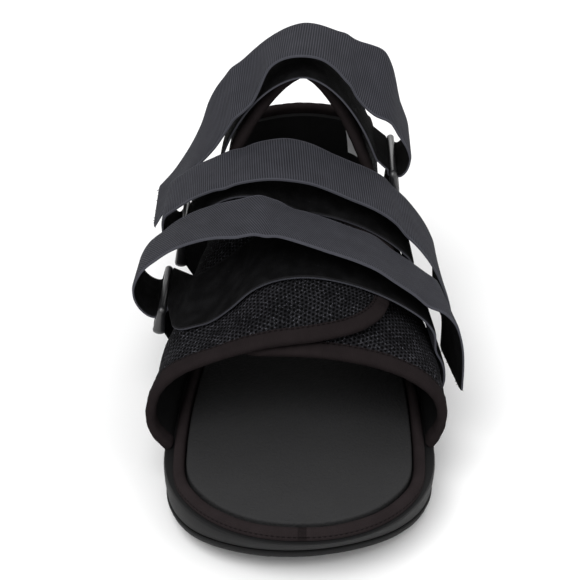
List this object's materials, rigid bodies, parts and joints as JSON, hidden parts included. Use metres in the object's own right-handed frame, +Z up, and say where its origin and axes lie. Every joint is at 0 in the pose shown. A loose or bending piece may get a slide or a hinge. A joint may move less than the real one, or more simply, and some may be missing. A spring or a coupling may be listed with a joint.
{
  "type": "post operative shoe",
  "caption": "Open-toe medical shoe with a mesh wrap upper on a thick moulded sole, closed by wide straps that loop through plastic rings.",
  "frame": {"origin": "middle of the underside's bounding rectangle, on the floor the shoe stands on", "axes": "+Z up, +Y towards the heel, +X to the right seen from the toe"},
  "size_m": [0.1466, 0.2814, 0.1487],
  "materials": {
    "outsole": "matte black tread rubber",
    "midsole": "matte black moulded foam",
    "footbed_band": "brownish black woven binding",
    "insole": "matte black with a fine grain",
    "upper": "black spacer mesh with bound edges",
    "heel_pad": "smooth black padded lining",
    "strap_front": "ribbed webbing outside, pile inside",
    "strap_mid": "ribbed webbing outside, pile inside",
    "strap_ankle": "ribbed webbing outside, pile inside",
    "ring_front": "dark moulded plastic",
    "ring_mid": "dark moulded plastic",
    "ring_ankle": "dark moulded plastic",
    "tab_front": "black webbing",
    "tab_mid": "black webbing",
    "tab_ankle": "black webbing"
  },
  "bodies": {
    "root": {"outsole": "outsole", "midsole": "midsole", "footbed_band": "footbed_band", "insole": "insole", "upper": "upper", "heel_pad": "heel_pad", "strap_front": "strap_front", "strap_mid": "strap_mid", "strap_ankle": "strap_ankle", "ring_front": "ring_front", "ring_mid": "ring_mid", "ring_ankle": "ring_ankle", "tab_front": "tab_front", "tab_mid": "tab_mid", "tab_ankle": "tab_ankle"}
  },
  "joints": []
}
